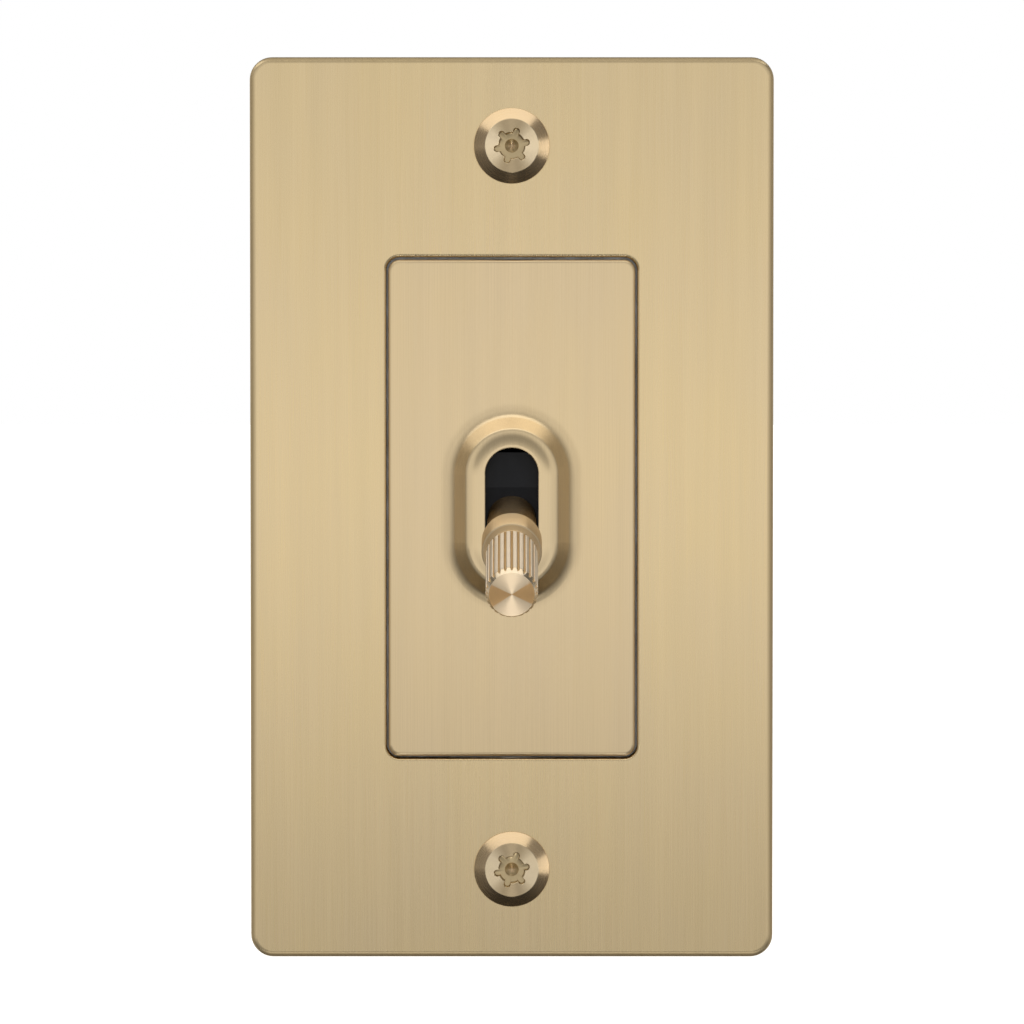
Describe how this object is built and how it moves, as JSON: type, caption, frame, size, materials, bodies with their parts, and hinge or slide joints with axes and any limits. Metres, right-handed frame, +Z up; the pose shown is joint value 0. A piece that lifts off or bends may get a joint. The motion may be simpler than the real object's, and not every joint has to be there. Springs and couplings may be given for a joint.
{
  "type": "toggle light switch",
  "caption": "Wall light switch: rectangular metal cover plate, flush centre plate with a raised oval slot surround, and a turned lever with a fluted grip that rocks a changeover contact.",
  "frame": {"origin": "middle of the two box-screw holes, in the wall plane, where the yoke's back face and the plate's rim lie", "axes": "+X right and +Z up as seen from the front, +Y into the wall; the front faces -Y"},
  "size_m": [0.07, 0.0593, 0.1204],
  "materials": {
    "satin_brass": "satin brushed brass, brushed along Z",
    "turned_brass": "fine-turned satin brass",
    "black_moulding": "black moulded nylon",
    "housing_moulding": "black moulded thermoset",
    "zinc_steel": "zinc-plated pressed steel",
    "screw_steel": "zinc-plated steel screw",
    "pin_steel": "ground steel",
    "earth_green": "green lacquered steel",
    "dark_screw": "blackened steel",
    "terminal_brass": "pressed bright brass",
    "contact_bronze": "pressed phosphor bronze",
    "contact_silver": "silver alloy",
    "plunger_nylon": "white acetal"
  },
  "bodies": {
    "switch": {"cover_plate": "satin_brass", "plate_screws": "turned_brass", "centre_plate": "satin_brass", "centre_plate_screws": "screw_steel", "yoke": "zinc_steel", "earth_screw": "earth_green", "pivot_pin": "pin_steel", "common_terminal": "terminal_brass", "upper_terminal": "terminal_brass", "lower_terminal": "terminal_brass", "fixed_contact_tips": "contact_silver", "common_terminal_screw": "dark_screw", "traveller_terminal_screws": "terminal_brass", "terminal_clamps": "screw_steel", "housing_cover": "housing_moulding", "housing_base": "housing_moulding", "housing_screws": "screw_steel"},
    "lever": {"dolly": "turned_brass", "rocker": "black_moulding", "plunger_spring": "pin_steel"},
    "sprung_plunger": {"plunger": "plunger_nylon"},
    "contact_bar": {"rocking_contact": "contact_bronze", "moving_contact_tips": "contact_silver"}
  },
  "joints": [
    {"name": "lever_swing", "type": "hinge", "parent": "switch", "child": "lever", "pos_m": [0, 0.004, 0], "axis": [-1, 0, 0], "range_deg": [0, 32]},
    {"name": "contact_rock", "type": "hinge", "parent": "switch", "child": "contact_bar", "pos_m": [0, 0.01905, 0], "axis": [-1, 0, 0], "range_deg": [-14, 0]},
    {"name": "plunger_slide", "type": "slide", "parent": "lever", "child": "sprung_plunger", "axis": [0, -0.9613, -0.2756], "range_m": [0, 0.0008], "stiffness_N_per_m": 500, "springref_m": -0.003, "deforming": ["plunger_spring"]}
  ],
  "couplings": [
    {"joint": "contact_rock", "follows": "lever_swing", "ratio": -0.4375}
  ]
}
